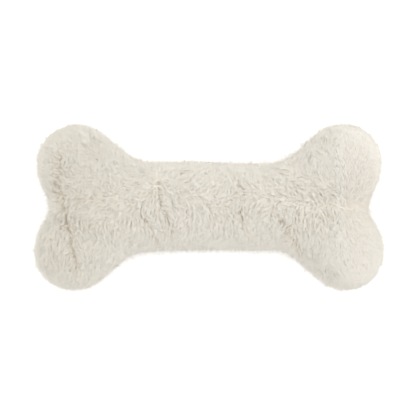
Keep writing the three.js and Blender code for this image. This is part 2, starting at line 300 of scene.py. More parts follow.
WAD_LEVELS = 2
TUFT_HEIGHT = 0.22 * MM
TUFT_PITCH = 5 * MM
FIBRES_EACH = 1400
FIBRE_LENGTH = 7 * MM
FIBRE_CRIMP = 0.5 * MM
FIBRE_HALF_WIDTH = 0.15 * MM
FIBRE_RINGS = 6
# A loose fibre bends down with the wad, which is about this round, and lies a little clear of it.
FIBRE_BEND_RADIUS = 26 * MM
FIBRE_LIFT = 0.1 * MM
# The squeaker moves within this radius, so no loose fibre lies there.
SQUEAKER_ROOM = 27 * MM
WADS = {
    "filling_shaft_upper": "wad_shaft_upper",
    "filling_shaft_lower": "wad_shaft_lower",
    "filling_knuckle_back_left": "wad_back_left",
    "filling_knuckle_back_right": "wad_back_right",
    "filling_knuckle_front_left": "wad_front_left",
    "filling_knuckle_front_right": "wad_front_right",
}
fibre_draw = np.random.default_rng(3)
fibre_share = np.linspace(-0.5, 0.5, FIBRE_RINGS)
fibre_along = FIBRE_LENGTH * fibre_share
fibre_zigzag = np.where(np.arange(FIBRE_RINGS) % 2 == 0, 1, -1) * FIBRE_CRIMP
fibre_fall = FIBRE_LENGTH**2 * fibre_share**2 / (2 * FIBRE_BEND_RADIUS) - FIBRE_LIFT
fibre_widths = np.full((FIBRES_EACH, FIBRE_RINGS), FIBRE_HALF_WIDTH)
for node_name, wad_name in WADS.items():
    wad = welded(wad_name, nodes[node_name])
    finer = wad.modifiers.new("finer", "SUBSURF")
    finer.subdivision_type = "SIMPLE"
    finer.levels = finer.render_levels = WAD_LEVELS
    settled(wad)
    count = len(wad.data.vertices)
    co, facing = np.empty(count * 3, np.float32), np.empty(count * 3, np.float32)
    wad.data.vertices.foreach_get("co", co)
    wad.data.vertex_normals.foreach_get("vector", facing)
    co, facing = co.reshape(-1, 3).astype(float), facing.reshape(-1, 3).astype(float)
    lumps = TUFT_HEIGHT * (0.5 + 0.5 * np.clip(waves(co, TUFT_PITCH, 41), -1, 1))
    lumpy = (co + facing * lumps[:, None]).astype(np.float32)
    wad.data.vertices.foreach_set("co", lumpy.ravel())
    wad.data.materials.append(fibre)
    # Loose fibres that lie on the wad
    clear = np.flatnonzero(np.hypot(co[:, 0], co[:, 1]) > SQUEAKER_ROOM)
    at = clear[fibre_draw.integers(0, len(clear), FIBRES_EACH)]
    normal = unit(facing[at])
    along = unit(np.cross(normal, fibre_draw.normal(size=normal.shape)))
    across = np.cross(along, normal)
    rings = (
        co[at][:, None]
        + along[:, None] * fibre_along[None, :, None]
        + across[:, None] * fibre_zigzag[None, :, None]
        - normal[:, None] * fibre_fall[None, :, None]
    )
    across, up = (np.repeat(axis[:, None], FIBRE_RINGS, 1) for axis in (across, normal))
    points, quads, triangles = tapered(rings, across, up, fibre_widths, fibre_widths)
    loose = solid(wad_name + "_loose", points, [quads, triangles], fibre)
    joined = bmesh.new()
    joined.from_mesh(wad.data)
    joined.from_mesh(loose.data)
    joined.to_mesh(wad.data)
    joined.free()
    bpy.data.objects.remove(loose)
    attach(wad, "toy")
    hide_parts(node_name)
    if node_name == "filling_shaft_upper":
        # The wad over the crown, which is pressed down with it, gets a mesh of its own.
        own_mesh(wad)

# Backing of the two fur panels
# Warp-knitted polyester cloth 1 mm thick, cut to the bone's outline and stretched tight by the
# filling. The pile is bound into it. The upper panel is in two halves that meet over the squeaker
# and dent with it.

MID_HEIGHT = 32.65 * MM
HALF_THICKNESS = 33 * MM
SHAFT_HALF_WIDTH = 41 * MM
SHAFT_STRAIGHT_REACH = 56.3 * MM
SHAFT_TAPER_REACH = 65 * MM
# The knuckles' places along and across the bone and their radius.
BACK_KNUCKLE = (119.9 * MM, 39.4 * MM, 36.4 * MM)
FRONT_KNUCKLE = (123.2 * MM, -40.3 * MM, 36 * MM)
SHAFT_BLEND_SHARE = 2.34
NOTCH_BLEND_SHARE = 1.49
# Where the filling pushes the fur out or leaves it slack: place and distance in mm.
BULGES = [
    (-138, 68, -0.8), (-100, 66, 1.0), (-72, 48, 0.7), (-40, 40, 0.6), (-5, 40, 0.9),
    (25, 40, -0.7), (55, 40, 0.5), (80, 52, -2.3), (108, 72, -0.5), (140, 66, 2.0),
    (158, 40, 2.1), (150, 5, 0.7), (158, -38, 1.7), (142, -66, 1.3), (108, -72, -0.9),
    (78, -52, -1.0), (50, -42, 0.1), (20, -42, -0.4), (-10, -42, -0.5), (-40, -42, 0.1),
    (-72, -48, 1.6), (-100, -68, 1.8), (-138, -68, -0.9), (-158, -38, -1.0), (-152, 3, -1.3),
    (-158, 40, -0.6),
]
BULGE_REACH = 18 * MM
FULLNESS_PER_MM = 0.052
BACKING_DEPTH = 7 * MM
BACKING_THICKNESS = 1 * MM
SOLE_REST = 0.8 * MM
SLOPE_STEP = 0.05 * MM
SHELL_WELD_GAP = 0.002 * MM


def smooth_max(a, b, share):
    """The larger of two fields, rounded where they come within share of each other."""
    overlap = np.maximum(share - np.abs(a - b), 0) / share
    return np.maximum(a, b) + overlap**2 * share / 4


def fullness(x, y):
    """How full the bone is at a point of the plan: 1 along the middle, 0 at its outline."""
    reach = np.abs(x)
    back, front = (
        1 - ((reach - kx) ** 2 + (y - ky) ** 2) / radius**2
        for kx, ky, radius in (BACK_KNUCKLE, FRONT_KNUCKLE)
    )
    beyond = np.maximum(reach - SHAFT_STRAIGHT_REACH, 0) / SHAFT_TAPER_REACH
    shaft = 1 - (y / SHAFT_HALF_WIDTH) ** 2 - beyond**2
    pushed = 0
    for bx, by, out in BULGES:
        away = (x - bx * MM) ** 2 + (y - by * MM) ** 2
        pushed = pushed + FULLNESS_PER_MM * out * np.exp(-away / (2 * BULGE_REACH**2))
    knuckles = smooth_max(back, front, NOTCH_BLEND_SHARE)
    return smooth_max(knuckles, shaft, SHAFT_BLEND_SHARE) + pushed


def insideness(p):
    """Above 0 inside the bone, 0 on its outer form; heights are counted from the middle plane."""
    return fullness(p[..., 0], p[..., 1]) - (p[..., 2] / HALF_THICKNESS) ** 2


def outward(p):
    """The unit outward normal at points, and their height above the outer form."""
    steps = np.eye(3) * SLOPE_STEP
    slope = [(insideness(p + d) - insideness(p - d)) / (2 * SLOPE_STEP) for d in steps]
    slope = np.stack(slope, axis=-1)
    size = np.maximum(np.linalg.norm(slope, axis=-1, keepdims=True), 1e-6)
    return -slope / size, -insideness(p) / size[..., 0]


# The form is reached by rays from a line along the middle that stops at a share of the knuckles'
# place. Over the straight share of the stations they stand square to it, then they turn to the end.
# They are spread to the sides, because the bone is wider than high.
STRAIGHT_SHARE = 0.45
ANCHOR_SHARE = 0.86
SPREAD_SHARE = 1.7
RAY_LENGTH = 120 * MM
HALVINGS = 30


def form_point(station, angle):
    """The point of the outer form on the ray of that station and angle about the middle line."""
    along = np.clip(station / STRAIGHT_SHARE, -1, 1) * ANCHOR_SHARE * BACK_KNUCKLE[0]
    beyond = np.maximum(np.abs(station) - STRAIGHT_SHARE, 0) / (1 - STRAIGHT_SHARE)
    tilt = np.radians(90) * beyond * np.sign(station)
    across, up = np.cos(angle) * SPREAD_SHARE, np.sin(angle)
    turn = np.cos(tilt) / np.hypot(across, up)
    ray = np.stack([np.sin(tilt), across * turn, up * turn], axis=-1)
    anchor = np.stack([along, along * 0, along * 0], axis=-1)
    near, far = np.zeros(along.shape), np.full(along.shape, RAY_LENGTH)
    for _ in range(HALVINGS):
        middle = (near + far) / 2
        inside = insideness(anchor + ray * middle[..., None]) > 0
        near, far = np.where(inside, middle, near), np.where(inside, far, middle)
    return anchor + ray * near[..., None]


def shell(name, stations, angles, outer_depth, inner_depth, material):
    """A closed shell between two depths under the outer form, over a span of rays."""
    grid = form_point(*np.meshgrid(stations, angles, indexing="ij"))
    normal, _ = outward(grid)
    top = grid - normal * outer_depth(grid)[..., None]
    under = grid - normal * inner_depth
    points = np.concatenate([top.reshape(-1, 3), under.reshape(-1, 3)])
    points[:, 2] = np.maximum(points[:, 2], SOLE_REST - MID_HEIGHT) + MID_HEIGHT
    size = len(stations) * len(angles)
    index = np.arange(size).reshape(len(stations), len(angles))
    a, b, c, d = index[:-1, :-1], index[1:, :-1], index[1:, 1:], index[:-1, 1:]
    over = np.stack([a, b, c, d], axis=-1).reshape(-1, 4)
    below = np.stack([d, c, b, a], axis=-1).reshape(-1, 4) + size
    faces = [over, below]
    for edge in (index[::-1, 0], index[:, -1], index[0], index[-1, ::-1]):
        p, q = edge[:-1], edge[1:]
        faces.append(np.stack([p, q, q + size, p + size], axis=-1))
    made = solid(name, points, faces, material, smooth=True)
    tidy = bmesh.new()
    tidy.from_mesh(made.data)
    bmesh.ops.remove_doubles(tidy, verts=tidy.verts, dist=SHELL_WELD_GAP)
    bmesh.ops.recalc_face_normals(tidy, faces=tidy.faces)
    tidy.to_mesh(made.data)
    tidy.free()
    return made


def bands(pitch):
    """The scale of a wave texture whose bands lie that far apart."""
    return 2 * math.pi / (20 * pitch)


# Warp knit is a dull cream cloth of fine ribs. The ribs are 0.9 mm apart with loops every 0.7 mm,
# and the colour is painted darker in the hollows between them, a painted shade.
knit = new_material("warp_knit_backing")
place = add_node(knit, "TexCoord").outputs["Object"]
ribs = add_node(
    knit, "TexWave", {"Vector": place}, {"Scale": bands(0.9 * MM), "Distortion": 0.4},
    bands_direction="Y",
)
loops = add_node(
    knit, "TexWave", {"Vector": place}, {"Scale": bands(0.7 * MM), "Distortion": 0.8},
    bands_direction="X",
)
mesh_height = add_node(
    knit, "Math", {0: ribs.outputs["Fac"], 1: loops.outputs["Fac"]}, operation="MULTIPLY"
)
# Painted shade: the colour is darker where the ribs and loops are low.
cloth = add_node(knit, "ValToRGB", {"Fac": mesh_height}, stops=[(0.0, "CFC6B5"), (0.6, "E4DCCC")])
knit_bump = add_node(knit, "Bump", {"Height": mesh_height}, {"Strength": 0.6, "Distance": 0.2 * MM})
shader = add_node(
    knit,
    "BsdfPrincipled",
    {"Base Color": cloth, "Normal": knit_bump},
    {"Roughness": 0.9, "Specular IOR Level": 0.15},
)
add_node(knit, "OutputMaterial", {"Surface": shader})


def held(piece, panel):
    """Holds a piece of a fur panel: a lower one is attached to the toy, an upper one has its
    placing baked into its mesh, for only the upper halves dent with the crown.
    """
    if panel == "lower":
        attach(piece, "toy")
        return
    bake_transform(piece)


HALF_STATIONS = 111
HALF_ANGLES = 81
upper_angles = np.linspace(0, math.pi, HALF_ANGLES)
lower_angles = np.linspace(math.pi, 2 * math.pi, HALF_ANGLES)
PANELS = {
    "upper_left": (np.linspace(-1, 0, HALF_STATIONS), upper_angles),
    "upper_right": (np.linspace(0, 1, HALF_STATIONS), upper_angles),
    "lower": (np.linspace(-1, 1, 2 * HALF_STATIONS - 1), lower_angles),
}
for panel, (stations, angles) in PANELS.items():
    backing = shell(
        "backing_" + panel,
        stations,
        angles,
        lambda p: np.full(p.shape[:-1], BACKING_DEPTH),
        BACKING_DEPTH + BACKING_THICKNESS,
        knit,
    )
    held(backing, panel)
    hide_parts("fur_panel_lower" if panel == "lower" else "fur_panel_upper")

# Seam thread and closing thread
# Three-ply spun polyester. The first runs round the edge between the two panels in one lockstitch
# line, the second closes the filling opening by hand. Both keep their imported solids.

# Spun thread is dull and slightly hairy; its plies show as slanted bands 0.6 mm apart, painted
# darker in the grooves between them as painted shade.
thread = new_material("spun_polyester_thread")
place = add_node(thread, "TexCoord").outputs["Object"]
slanted = add_node(thread, "Mapping", {"Vector": place}, {"Rotation": (0.5, 0.4, 0.6)})
plies = add_node(
    thread, "TexWave", {"Vector": slanted}, {"Scale": bands(0.6 * MM), "Distortion": 1.0}
)
# Painted shade: the colour is darker where the plies' bands are low.
twist = add_node(
    thread, "ValToRGB", {"Fac": plies.outputs["Fac"]}, stops=[(0.2, "D5CCB8"), (0.8, "EAE3D2")]
)
ply_bump = add_node(
    thread, "Bump", {"Height": plies.outputs["Fac"]}, {"Strength": 0.6, "Distance": 0.12 * MM}
)
shader = add_node(
    thread,
    "BsdfPrincipled",
    {"Base Color": twist, "Normal": ply_bump},
    {"Roughness": 0.7, "Sheen Weight": 0.2},
)
add_node(thread, "OutputMaterial", {"Surface": shader})
coat(thread, "seam_thread", "closing_thread")

# Underfur
# The short dense crimped wool of the pile, a springy mat nearly 5 mm deep on the backing that the
# long hair stands in. It opens in the partings, where the backing folds.

UNDERFUR_DEPTH = 2.2 * MM
UNDERFUR_UNEVEN = 0.25 * MM
UNDERFUR_UNEVEN_PITCH = 5 * MM
RIM_DEPTH = 1 * MM
RIM_REACH = 13 * MM

# Partings, each a crease with its points in mm, its half width in mm, how deep it is, 0 to 1, and
# how strongly the hair beside it falls away from it.
PARTINGS = [
    (
        [(-130, 43), (-132, 29), (-133, 17), (-129, 8), (-128, -1), (-126, -10), (-123, -20)],
        2.4, 0.36, 0.9,
    ),
    ([(-123, -20), (-121, -27), (-117, -52)], 3.0, 0.26, 0.9),
    ([(-44, 23), (-44, 12), (-43, 3), (-38, -6), (-36, -13), (-31, -22)], 1.7, 0.36, 0.4),
    ([(-58, -8), (-52, -16), (-47, -24), (-41, -35)], 2.4, 0.24, 0.35),
    ([(26, 21), (32, 12), (34, 6)], 1.7, 0.38, 0.4),
    ([(29, -4), (32, -12), (33, -17)], 1.9, 0.4, 0.4),
    ([(66, -12), (72, -20), (77, -29), (82, -38)], 3.0, 0.28, 0.35),
]
# How far the wool opens in the deepest parting.
PARTING_DEPTH = 3.6 * MM
# A parting closes towards the outline, between these shares of fullness.
PARTING_CLOSES = (0.1, 0.35)
# It opens unevenly along its way, and its line wanders.
PARTING_OPEN = 0.85
PARTING_OPEN_UNEVEN = 0.3
PARTING_OPEN_PITCH = 8 * MM
PARTING_WANDER = 0.9 * MM
PARTING_WANDER_PITCH = 5 * MM
# Hair falls away from it over this many half widths.
FALL_WIDTHS = 4


def ramp(x, low, high):
    """0 below low, 1 above high and smooth between them."""
    t = np.clip((x - low) / (high - low), 0, 1)
    return t * t * (3 - 2 * t)


def bell(distance, reach):
    """1 at no distance, falling smoothly to almost 0 at twice the reach."""
    return np.exp(-((distance / reach) ** 2))


def parting_at(p):
    """How deep points lie in a parting, 0 to 1, and the way the hair falls from it."""
    x, y = p[..., 0], p[..., 1]
    uneven = PARTING_OPEN + PARTING_OPEN_UNEVEN * waves(p, PARTING_OPEN_PITCH, 52)
    open_top = ramp(fullness(x, y), *PARTING_CLOSES) * (p[..., 2] > 0) * uneven
    x = x + PARTING_WANDER * waves(p, PARTING_WANDER_PITCH, 51)
    depth, away = np.zeros(x.shape), np.zeros(x.shape + (2,))
    for points, half_width, strength, falling in PARTINGS:
        best, direction = np.full(x.shape, 1.0), np.zeros(x.shape + (2,))
        for (ax, ay), (bx, by) in zip(points[:-1], points[1:]):
            ax, ay, dx, dy = ax * MM, ay * MM, (bx - ax) * MM, (by - ay) * MM
            share = np.clip(((x - ax) * dx + (y - ay) * dy) / (dx * dx + dy * dy), 0, 1)
            off = np.stack([x - ax - share * dx, y - ay - share * dy], axis=-1)
            distance = np.linalg.norm(off, axis=-1)
            nearer = distance < best
            best = np.where(nearer, distance, best)
            across = np.array([dy, -dx]) / math.hypot(dx, dy)
            off_across = np.sum(off * across, axis=-1) / np.maximum(distance, 1e-6)
            direction = np.where(nearer[..., None], off_across[..., None] * across, direction)
        here = strength * bell(best, half_width * MM)
        fall = falling * bell(best, FALL_WIDTHS * half_width * MM)
        away = np.where((here > depth)[..., None], direction * fall[..., None], away)
        depth = np.maximum(depth, here)
    return depth * open_top, away * open_top[..., None]


def wool_depth(p):
    """How far the top of the underfur lies below the outer form."""
    uneven = UNDERFUR_UNEVEN * waves(p, UNDERFUR_UNEVEN_PITCH, 31)
    rim = RIM_DEPTH * bell(p[..., 2], RIM_REACH)
    return UNDERFUR_DEPTH + uneven + PARTING_DEPTH * parting_at(p)[0] + rim


# Crimped wool is matt and warm cream, with tufts of about 2.5 mm and a crimp of 0.5 mm. In a
# parting its colour is painted darker, a painted shade for the light lost between the hairs.
wool = new_material("crimped_underfur")
place = add_node(wool, "TexCoord").outputs["Object"]
tufts = add_node(wool, "TexNoise", {"Vector": place}, {"Scale": 1 / (2.5 * MM), "Detail": 4.0})
crimp = add_node(
    wool, "TexNoise", {"Vector": place}, {"Scale": 1 / (0.5 * MM), "Detail": 2.0, "Distortion": 1.0}
)
cream = add_node(wool, "ValToRGB", {"Fac": tufts}, stops=[(0.3, "DFD7C9"), (0.7, "EAE3D7")])
shaded = add_node(wool, "Attribute", attribute_name="in_parting")
# Painted shade: the colour is mixed towards C2B7A7 in a parting.
wool_colour_and_shade = add_node(
    wool, "MixRGB", {"Fac": shaded.outputs["Fac"], "Color1": cream}, {"Color2": linear("C2B7A7")}
)
wool_bump = add_node(wool, "Bump", {"Height": crimp}, {"Strength": 0.6, "Distance": 0.3 * MM})
shader = add_node(
    wool,
    "BsdfPrincipled",
    {"Base Color": wool_colour_and_shade, "Normal": wool_bump},
    {"Roughness": 0.9, "Specular IOR Level": 0.1},
)
add_node(wool, "OutputMaterial", {"Surface": shader})

WOOL_STATIONS = {"upper_left": 221, "upper_right": 221, "lower": 281}
WOOL_ANGLES = 161
# How much painted shade the wool's colour takes for each unit of a parting's depth.
PARTING_SHADE = 2.2
for panel, (stations, angles) in PANELS.items():
    stations = np.linspace(stations[0], stations[-1], WOOL_STATIONS[panel])
    angles = np.linspace(angles[0], angles[-1], WOOL_ANGLES)
    mat = shell("underfur_" + panel, stations, angles, wool_depth, BACKING_DEPTH, wool)
    points = np.empty(3 * len(mat.data.vertices))
    mat.data.vertices.foreach_get("co", points)
    parted = parting_at(points.reshape(-1, 3) - (0, 0, MID_HEIGHT))[0]
    shade = mat.data.attributes.new("in_parting", "FLOAT", "POINT")
    shade.data.foreach_set("value", np.clip(PARTING_SHADE * parted, 0, 1))
    held(mat, panel)

# Long hair of the two panels
# Acrylic rabbit pile 12 mm long, combed flat. It lies outwards at the rim and in ripples over the
# middle, in locks about 1.2 mm wide. Each hair is a tapered solid, wider than life to be seen.

# How the hair is combed on top: place in mm, heading in degrees from +X, reach in mm.
COMBING = [
    (-70, 22, 172, 22), (-100, 12, 190, 16), (-20, 18, 12, 20), (10, 14, 16, 16),
    (0, 30, 32, 12), (30, 24, 126, 14), (42, 4, -78, 14), (55, 18, 150, 14),
    (75, 16, 164, 14), (95, 22, 142, 16), (112, 34, 118, 18), (117, 10, 112, 14),
    (132, 22, 70, 12), (146, -2, -10, 10), (115, -16, -74, 18), (85, -10, -108, 18),
    (50, -22, -96, 22), (0, -20, -98, 24), (-40, -22, -80, 22), (-75, -16, -104, 20),
    (-50, 2, -25, 14), (-66, 6, 176, 12), (-96, 34, 122, 18), (-108, -14, -84, 20),
    (-15, -4, -128, 14), (100, -40, -92, 22), (-110, -44, -92, 22), (124, -50, -68, 18),
    (-128, 40, 150, 14),
]
# Between the strokes it fans out weakly from a line along the middle of this reach.
SPINE_REACH = 96 * MM
SPINE_PULL = 0.3
# It wanders off its strokes: by degrees, over a pitch, with a seed. It is curlier in one place on
# the right and steadier over the smooth right end, from one x to another.
WANDERS = [(26, 24 * MM, 11), (20, 9 * MM, 12)]
CURL_WANDER = (34, 7 * MM, 13)
CURL_X, CURL_REACH = 112 * MM, 22 * MM
STEADY_SPAN, STEADY_SHARE = (112 * MM, 124 * MM), 0.8
# In the notch between two knuckles it lies along the toy and doesn't meet in a ridge.
NOTCH_HALF_WIDTH, NOTCH_SPAN, NOTCH_PULL = 12 * MM, (112 * MM, 128 * MM), 2
# It turns over the edge between these shares of fullness, and mostly so on the underside.
EDGE_FULLNESS, EDGE_PULL = (0.05, 0.4), 1.3
UNDERSIDE_STROKE = 0.35


def turned(heading, angle):
    """Flat headings turned by angles."""
    x, y, c, s = heading[..., 0], heading[..., 1], np.cos(angle), np.sin(angle)
    return np.stack([x * c - y * s, x * s + y * c], axis=-1)


def combed(p):
    """The heading of the hair over points of the outer form, seen in plan."""
    x, y = p[..., 0], p[..., 1]
    spine = np.clip(x, -SPINE_REACH, SPINE_REACH)
    stroke = SPINE_PULL * unit(np.stack([x - spine, y], axis=-1))
    for cx, cy, degrees, reach in COMBING:
        weight = np.exp(-((x - cx * MM) ** 2 + (y - cy * MM) ** 2) / (2 * (reach * MM) ** 2))
        way = math.radians(degrees)
        stroke = stroke + weight[..., None] * np.array([math.cos(way), math.sin(way)])
    wander = sum(np.radians(degrees) * waves(p, pitch, seed) for degrees, pitch, seed in WANDERS)
    curly = np.exp(-((x - CURL_X) ** 2 + y**2) / CURL_REACH**2)
    degrees, pitch, seed = CURL_WANDER
    wander = wander + np.radians(degrees) * curly * waves(p, pitch, seed)
    stroke = turned(unit(stroke), wander * (1 - STEADY_SHARE * ramp(x, *STEADY_SPAN)))
    normal, _ = outward(np.stack([x, y, np.zeros(x.shape)], axis=-1))
    notch = bell(y, NOTCH_HALF_WIDTH) * ramp(np.abs(x), *NOTCH_SPAN)
    outwards = np.stack([notch * np.sign(x), 0 * y], axis=-1)
    over_edge = unit(unit(normal[..., :2]) + NOTCH_PULL * outwards)
    edge = (1 - ramp(fullness(x, y), *EDGE_FULLNESS))[..., None]
    top = stroke * (1 - edge) + over_edge * edge * EDGE_PULL + parting_at(p)[1]
    return np.where((p[..., 2] < 0)[..., None], over_edge + UNDERSIDE_STROKE * stroke, top)


SCATTER_STATIONS = 241
SCATTER_ANGLES = 161


def scattered(count, draw, low, high):
    """Points spread evenly over the outer form between two heights, and its area there."""
    stations = np.linspace(-1, 1, SCATTER_STATIONS)
    angles = np.linspace(0, 2 * math.pi, SCATTER_ANGLES)
    grid = form_point(*np.meshgrid(stations, angles, indexing="ij"))
    a, b, c, d = grid[:-1, :-1], grid[1:, :-1], grid[1:, 1:], grid[:-1, 1:]
    height = (a + b + c + d)[..., 2] / 4
    inside = (height >= low) & (height <= high)
    area = np.linalg.norm(np.cross(c - a, d - b), axis=-1) / 2 * inside
    cell = draw.choice(area.size, size=count, p=area.ravel() / area.sum())
    i, j = np.unravel_index(cell, area.shape)
    u, v = draw.random((count, 1)), draw.random((count, 1))
    p = (a[i, j] * (1 - u) + b[i, j] * u) * (1 - v) + (d[i, j] * (1 - u) + c[i, j] * u) * v
    normal, height = outward(p)
    return p - normal * height[:, None], area.sum()


def tree_of(points):
    """A search tree of points."""
    tree = kdtree.KDTree(len(points))
    for i, p in enumerate(points):
        tree.insert(p, i)
    tree.balance()
    return tree


def spaced(points, gap):
    """The points that are left when each keeps its gap to the ones before it."""
    tree, gone, kept = tree_of(points), np.zeros(len(points), bool), []
    for i, p in enumerate(points):
        if not gone[i]:
            kept.append(i)
            gone[[j for _, j, _ in tree.find_range(p, gap)]] = True
    return points[kept]


# Over this span of x the hair turns calm and the coat smooth towards the right end.
SMOOTH_SPAN = (112 * MM, 126 * MM)
# The coat heaves in lumps and in finer ripples, each with its height in mm and its pitch. They grow
# from the outline inwards, ripples more so along the middle and less towards the shaft's edges.
LUMP_HEIGHT, LUMP_PITCH = 0.6, 10 * MM
RIPPLE_HEIGHT, RIPPLE_PITCH = 0.5, 5 * MM
HEAVE_FULLNESS, HEAVE_END_CALM = (0.08, 0.4), 0.92
RIPPLE_FULLNESS, RIPPLE_MORE = (0.4, 0.75), 0.7
RIPPLE_SIDES, RIPPLE_LESS = (16 * MM, 34 * MM), 0.9


def heave(p):
    """How far the combed coat stands above or below the outer form."""
    x, y = p[..., 0], p[..., 1]
    full = fullness(x, y)
    strength = ramp(full, *HEAVE_FULLNESS) * (1 - HEAVE_END_CALM * ramp(x, *SMOOTH_SPAN))
    more = RIPPLE_MORE * ramp(full, *RIPPLE_FULLNESS)
    middle = 1 + more - RIPPLE_LESS * ramp(np.abs(y), *RIPPLE_SIDES)
    lumps = LUMP_HEIGHT * waves(p, LUMP_PITCH, 41)
    return MM * strength * (lumps + RIPPLE_HEIGHT * middle * waves(p, RIPPLE_PITCH, 42))


# The hair is ruffled most in the middle of the upper side, with curls towards the right knuckles,
# and less towards the left end and the shaft's edges. The underside is ruffled a little throughout.
RUFFLE_FULLNESS = (0.3, 0.75)
RUFFLE_LEFT_SPAN, RUFFLE_LEFT_LESS = (122 * MM, 134 * MM), 0.5
RUFFLE_SIDES, RUFFLE_SIDES_LESS = (14 * MM, 34 * MM), 0.88
CURLS_X, CURLS_REACH, CURLS_MORE = 92 * MM, 30 * MM, 0.8
UNDERSIDE_RUFFLE = 0.35


def ruffled(p):
    """How strongly the hair is ruffled at points of the outer form."""
    x, y = p[:, 0], p[:, 1]
    end = ramp(x, *SMOOTH_SPAN)
    left = RUFFLE_LEFT_LESS * ramp(-x, *RUFFLE_LEFT_SPAN)
    sides = RUFFLE_SIDES_LESS * ramp(np.abs(y), *RUFFLE_SIDES)
    top = ramp(fullness(x, y), *RUFFLE_FULLNESS) * (1 - end) * (1 - left) * (1 - sides)
    curls = 1 + CURLS_MORE * np.exp(-((x - CURLS_X) ** 2 + y**2) / CURLS_REACH**2)
    return np.where(p[:, 2] > 0, top * curls, UNDERSIDE_RUFFLE)


HAIR_LENGTH = 12 * MM
HAIR_ROOT_DEPTH = 4.6 * MM
LOCK_WIDTH = 1.15 * MM
# Shares of the way up a hair: of its rings and of the point that it is placed by.
RING_SHARES = (0.0, 0.36, 0.72, 1.0)
MIDDLE_SHARE = 0.6
# How the hair differs by lock and by itself. Lifts, sways and lengths are in mm. Of a pair, the
# first is for smooth fur and the second is what full ruffling adds.
END_CALM = 0.85
LOCK_TURN_DEGREES = 9
STRAY, END_STRAY = 0.08, 0.12
GATHER = (0.04, 0.24)
LOCK_LIFT = (0.01, 0.42)
OWN_LIFT = (0.02, 0.05)
LOCK_SWAY = (0.15, 0.6)
OWN_SWAY = 0.2
RUFFLED_SHORTER, OWN_LENGTH = 1.5, 1.3
# The share of a hair's length that it has at the right end, and what it has more elsewhere.
END_LENGTH = (0.55, 0.45)
# In a parting the hair is shorter and pressed down, and beside it the roots are short. At the rim
# it is pressed down too, by these distances in mm above and below the seam.
PARTING_PRESS = 2.4 * MM
PARTING_SHORTER = 0.45
PARTING_ROOT_SHORTER = 0.85
RIM_PRESS = (2.2, 3.4)
# Guard hairs are fine, short and stray, and stand out by up to a few mm.
GUARD_STRAY = 0.3
GUARD_LENGTH_SHARE = 0.4
GUARD_LIFT, GUARD_LIFT_MOST, GUARD_SUNK = 2.2, 6.5, 1.2
# How a hair bends on its way up: its rise, its lift, its sway and its lean to the lock's middle.
RISE_POWER, LIFT_POWER = 1.8, 1.5
SWAY_TURN = 1.1
LEAN_AHEAD, LEAN_FROM = 0.8, 0.3
SETTLING_STEPS = 3


def hair_rings(middles, mine, locks, draw, guard=False):
    """Rows of ring centres for a hair over each middle point, gathered into its lock."""
    count = len(middles)
    above_seam = middles[:, 2] > 0
    normal, _ = outward(middles)
    calm = 1 - END_CALM * ramp(middles[:, 0], *SMOOTH_SPAN)
    lock_turn = np.radians(LOCK_TURN_DEGREES) * calm * draw.normal(size=len(locks))[mine]
    lock_heading = unit(turned(combed(locks)[mine], lock_turn))
    stray = GUARD_STRAY if guard else STRAY + END_STRAY * (1 - calm[:, None])
    ahead = np.concatenate([lock_heading, np.zeros((count, 1))], axis=-1)
    ahead = ahead + stray * draw.normal(size=(count, 3))
    ahead = unit(ahead - normal * np.sum(ahead * normal, axis=-1, keepdims=True))
    side = np.cross(normal, ahead)
    ruffle = ruffled(middles)
    parted, away = parting_at(middles)
    off = middles - locks[mine]
    gather = np.zeros(count) if guard else GATHER[0] + GATHER[1] * ruffle
    off_side, off_ahead = (np.sum(off * axis, axis=-1) * gather for axis in (side, ahead))
    lock_lift, lock_sway = (draw.normal(size=len(locks))[mine] for _ in range(2))
    own_lift, own_sway, own_length = draw.normal(size=(3, count))
    lift = (LOCK_LIFT[0] + LOCK_LIFT[1] * ruffle) * lock_lift
    lift = MM * (lift + (OWN_LIFT[0] * calm + OWN_LIFT[1] * ruffle) * own_lift)
    rim_press = np.where(above_seam, *RIM_PRESS) * MM * bell(middles[:, 2], RIM_REACH)
    lift = lift - PARTING_PRESS * parted - rim_press
    sway = (LOCK_SWAY[0] * calm + LOCK_SWAY[1] * ruffle) * lock_sway
    sway = MM * (sway + OWN_SWAY * calm * own_sway)
    length = HAIR_LENGTH - MM * (RUFFLED_SHORTER * ruffle - OWN_LENGTH * own_length)
    length = length * (1 - PARTING_SHORTER * parted)
    length = length * (END_LENGTH[0] + END_LENGTH[1] * calm)
    if guard:
        lift = MM * (np.minimum(draw.exponential(GUARD_LIFT, count), GUARD_LIFT_MOST) - GUARD_SUNK)
        length = length * GUARD_LENGTH_SHARE
    beside = np.clip(2 * np.linalg.norm(away, axis=-1), 0, 1)
    short_root = 1 - PARTING_ROOT_SHORTER * beside
    rings = []
    for t in RING_SHARES:
        along = length * (t - MIDDLE_SHARE) * (short_root if t < MIDDLE_SHARE else 1)
        along = along - off_ahead * LEAN_AHEAD * t
        swung = sway * math.sin(math.pi * t * SWAY_TURN) - off_side * (t - LEAN_FROM)
        p = middles + ahead * along[:, None] + side * swung[:, None]
        rise = HAIR_ROOT_DEPTH * (1 - (1 - t) ** RISE_POWER) + lift * t**LIFT_POWER
        for _ in range(SETTLING_STEPS):
            n, above = outward(p)
            heaved = t * heave(p) * (p[:, 2] > 0)
            p = p + n * (rise - HAIR_ROOT_DEPTH - above + heaved)[:, None]
        rings.append(p)
    return np.stack(rings, axis=1)


HAIR_FLATNESS = 0.3
# The width of a hair at its rings but the tip, in shares of its full width.
RING_WIDTHS = (0.9, 1.0, 0.75)
# Hairs under the sole are pressed flat, in layers, on what the toy lies on.
SOLE_HEIGHT = 0.25 * MM
SOLE_LAYERS = 0.12 * MM
# The corners of a ring differ a little in the map, and the map keeps off its own edge.
CORNER_TINTS = [0.0, 0.02, 0.01]
MAP_MARGIN = 0.02


